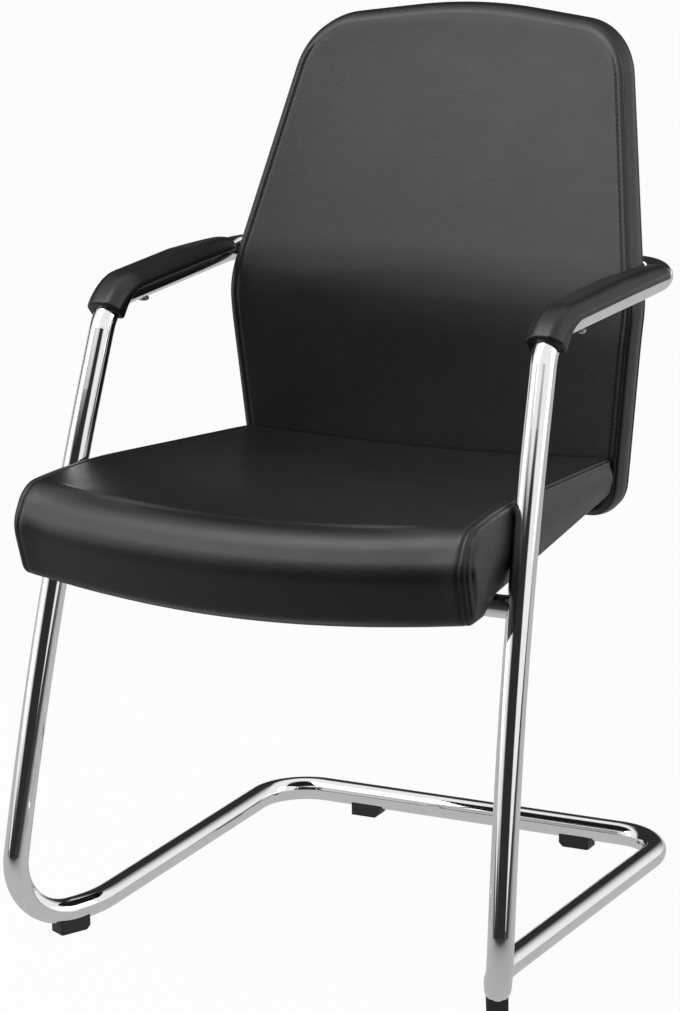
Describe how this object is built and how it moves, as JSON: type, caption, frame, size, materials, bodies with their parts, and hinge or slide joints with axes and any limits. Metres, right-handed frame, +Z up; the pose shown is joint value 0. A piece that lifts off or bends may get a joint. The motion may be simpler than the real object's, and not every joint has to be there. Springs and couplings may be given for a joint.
{
  "type": "conference chair",
  "caption": "Cantilever conference armchair: bent chrome tube frame, leather-covered seat and raked back with a hollow front, moulded arm pads and floor glides.",
  "frame": {"origin": "on the floor, under the middle of the whole chair's box", "axes": "+X to the sitter's left, +Y to the rear, +Z up; the chair is mirror symmetric across X"},
  "size_m": [0.5504, 0.5722, 0.884],
  "materials": {
    "frame_tube": "polished chrome plate",
    "black_steel": "black powder coat",
    "zinc_steel": "zinc plated",
    "arm_pad": "soft moulded black polyurethane, fine grain",
    "glide": "matt black nylon",
    "plywood": "raw plywood",
    "foam": "open-cell seating foam",
    "cover": "smooth black leather with fine grain and a soft sheen",
    "liner": "black spun lining cloth"
  },
  "bodies": {
    "root": {"left_side_tube": "frame_tube", "right_side_tube": "frame_tube", "left_seat_saddle": "black_steel", "right_seat_saddle": "black_steel", "left_front_glide": "glide", "right_front_glide": "glide", "left_rear_glide": "glide", "right_rear_glide": "glide", "left_arm_pad": "arm_pad", "right_arm_pad": "arm_pad", "left_pad_insert": "zinc_steel", "right_pad_insert": "zinc_steel", "left_back_plate": "frame_tube", "right_back_plate": "frame_tube", "left_tube_plug": "glide", "right_tube_plug": "glide", "left_seat_back_bracket": "black_steel", "right_seat_back_bracket": "black_steel", "base_rear_tube": "frame_tube", "seat_crossbar": "frame_tube", "arm_pad_screws": "zinc_steel", "back_screws": "zinc_steel", "back_nuts": "zinc_steel", "seat_screws": "zinc_steel", "seat_nuts": "zinc_steel", "bracket_screws": "zinc_steel", "seat_board": "plywood", "seat_foam": "foam", "seat_cover": "cover", "seat_liner": "liner", "back_board": "plywood", "back_foam": "foam", "back_front_cover": "cover", "back_rear_cover": "cover"}
  },
  "joints": []
}
